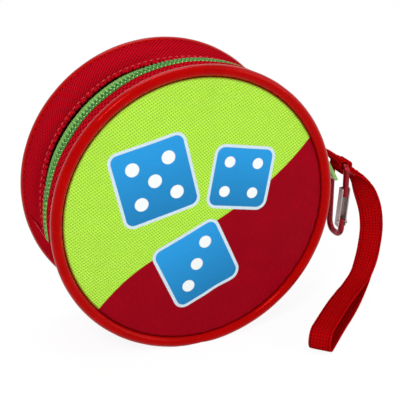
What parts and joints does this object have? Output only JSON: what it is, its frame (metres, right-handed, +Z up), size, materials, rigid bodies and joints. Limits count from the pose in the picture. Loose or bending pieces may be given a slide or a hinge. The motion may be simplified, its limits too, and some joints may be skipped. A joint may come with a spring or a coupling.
{
  "type": "word dice game case",
  "caption": "Round zip case on its rim with a fold-down front flap, wrist strap and carabiner, holding letter dice, a sand timer and a leaflet.",
  "frame": {"origin": "on the floor below the front rim's centre, on the flat that the case stands on", "axes": "+Z up, +Y along the drum's axis from the printed front to the back, +X towards the wrist strap"},
  "size_m": [0.1631, 0.0863, 0.124],
  "materials": {
    "red_fabric": "woven, slight sheen",
    "lime_fabric": "coarse weave",
    "red_piping": "gloss",
    "green_tape": "woven tape",
    "green_coil": "moulded nylon",
    "green_enamel": "enamelled",
    "red_webbing": "ribbed webbing",
    "red_anodised": "anodised",
    "bare_metal": "satin",
    "ivory_plastic": "gloss",
    "timer_plastic": "gloss",
    "clear_glass": "clear",
    "sand": "grains",
    "paper": "uncoated paper"
  },
  "bodies": {
    "case": {"back_piping": "red_piping", "back_panel": "red_fabric", "back_gusset": "red_fabric", "base_gusset": "red_fabric", "front_panel_lower": "lime_fabric", "front_piping_lower": "red_piping", "back_binding": "red_fabric", "zip_tape_back": "green_tape", "zip_coil_back": "green_coil", "zip_end_right": "green_tape", "zip_end_left": "green_tape", "strap_tab": "red_webbing"},
    "flap": {"front_panel_upper": "lime_fabric", "front_piping_upper": "red_piping", "front_gusset_strip": "red_fabric", "zip_tape_front": "green_tape", "zip_coil_front": "green_coil"},
    "slider": {"slider_body": "green_enamel"},
    "pull": {"puller": "green_enamel"},
    "strap": {"wrist_strap": "red_webbing"},
    "carabiner": {"carabiner_body": "red_anodised", "gate_rivet": "bare_metal"},
    "snap_gate": {"gate": "bare_metal"},
    "timer": {"timer_cap_left": "timer_plastic", "timer_cap_right": "timer_plastic", "timer_glass": "clear_glass", "timer_sand": "sand"},
    "rules": {"leaflet": "paper"},
    "letter_die_01": {"die_01": "ivory_plastic"},
    "letter_die_02": {"die_02": "ivory_plastic"},
    "letter_die_03": {"die_03": "ivory_plastic"},
    "letter_die_04": {"die_04": "ivory_plastic"},
    "letter_die_05": {"die_05": "ivory_plastic"},
    "letter_die_06": {"die_06": "ivory_plastic"},
    "letter_die_07": {"die_07": "ivory_plastic"},
    "letter_die_08": {"die_08": "ivory_plastic"},
    "letter_die_09": {"die_09": "ivory_plastic"},
    "letter_die_10": {"die_10": "ivory_plastic"},
    "letter_die_11": {"die_11": "ivory_plastic"},
    "letter_die_12": {"die_12": "ivory_plastic"},
    "letter_die_13": {"die_13": "ivory_plastic"}
  },
  "joints": [
    {"name": "flap_fold", "type": "hinge", "parent": "case", "child": "flap", "pos_m": [0, -0.0028, 0.0615], "axis": [0.9903, 0, 0.1392], "range_deg": [0, 110]},
    {"name": "slider_travel", "type": "hinge", "parent": "case", "child": "slider", "pos_m": [0, 0.0135, 0.0615], "axis": [0, -1, 0], "range_deg": [0, 162]},
    {"name": "puller_swing", "type": "hinge", "parent": "slider", "child": "pull", "pos_m": [0.0621, 0.0135, 0.07931], "axis": [0, -1, 0], "range_deg": [-8, 150]},
    {"name": "strap_swing", "type": "hinge", "parent": "case", "child": "strap", "pos_m": [0.0792, 0.0216, 0.0645], "axis": [0, -1, 0], "range_deg": [0, 90]},
    {"name": "carabiner_swing", "type": "hinge", "parent": "case", "child": "carabiner", "pos_m": [0.0792, 0.0216, 0.0645], "axis": [0, -1, 0], "range_deg": [-35, 12]},
    {"name": "gate_open", "type": "hinge", "parent": "carabiner", "child": "snap_gate", "pos_m": [0.0792, 0.0172, 0.037], "axis": [-1, 0, 0], "range_deg": [0, 28], "stiffness_Nm_per_rad": 0.003, "springref_deg": -11.46},
    {"name": "timer_shift", "type": "slide", "parent": "case", "child": "timer", "axis": [0, 1, 0], "range_m": [-0.0006, 0.0003]},
    {"name": "rules_shift", "type": "slide", "parent": "case", "child": "rules", "axis": [0, 1, 0], "range_m": [-0.0006, 0]},
    {"name": "die_01_shift", "type": "slide", "parent": "case", "child": "letter_die_01", "axis": [0, 1, 0], "range_m": [-0.0004, 0.0004]},
    {"name": "die_02_shift", "type": "slide", "parent": "case", "child": "letter_die_02", "axis": [0, 1, 0], "range_m": [-0.0004, 0.0004]},
    {"name": "die_03_shift", "type": "slide", "parent": "case", "child": "letter_die_03", "axis": [0, 1, 0], "range_m": [-0.0004, 0.0004]},
    {"name": "die_04_shift", "type": "slide", "parent": "case", "child": "letter_die_04", "axis": [0, 1, 0], "range_m": [-0.0004, 0.0004]},
    {"name": "die_05_shift", "type": "slide", "parent": "case", "child": "letter_die_05", "axis": [0, 1, 0], "range_m": [-0.0004, 0.0004]},
    {"name": "die_06_shift", "type": "slide", "parent": "case", "child": "letter_die_06", "axis": [0, 1, 0], "range_m": [-0.0004, 0.0004]},
    {"name": "die_07_shift", "type": "slide", "parent": "case", "child": "letter_die_07", "axis": [0, 1, 0], "range_m": [-0.0004, 0.0004]},
    {"name": "die_08_shift", "type": "slide", "parent": "case", "child": "letter_die_08", "axis": [0, 1, 0], "range_m": [-0.0004, 0.0004]},
    {"name": "die_09_shift", "type": "slide", "parent": "case", "child": "letter_die_09", "axis": [0, 1, 0], "range_m": [-0.0004, 0.0004]},
    {"name": "die_10_shift", "type": "slide", "parent": "case", "child": "letter_die_10", "axis": [0, 1, 0], "range_m": [-0.0004, 0.0004]},
    {"name": "die_11_shift", "type": "slide", "parent": "case", "child": "letter_die_11", "axis": [0, 1, 0], "range_m": [-0.0004, 0.0004]},
    {"name": "die_12_shift", "type": "slide", "parent": "case", "child": "letter_die_12", "axis": [0, 1, 0], "range_m": [-0.0004, 0.0004]},
    {"name": "die_13_shift", "type": "slide", "parent": "case", "child": "letter_die_13", "axis": [0, 1, 0], "range_m": [-0.0004, 0.0004]}
  ]
}
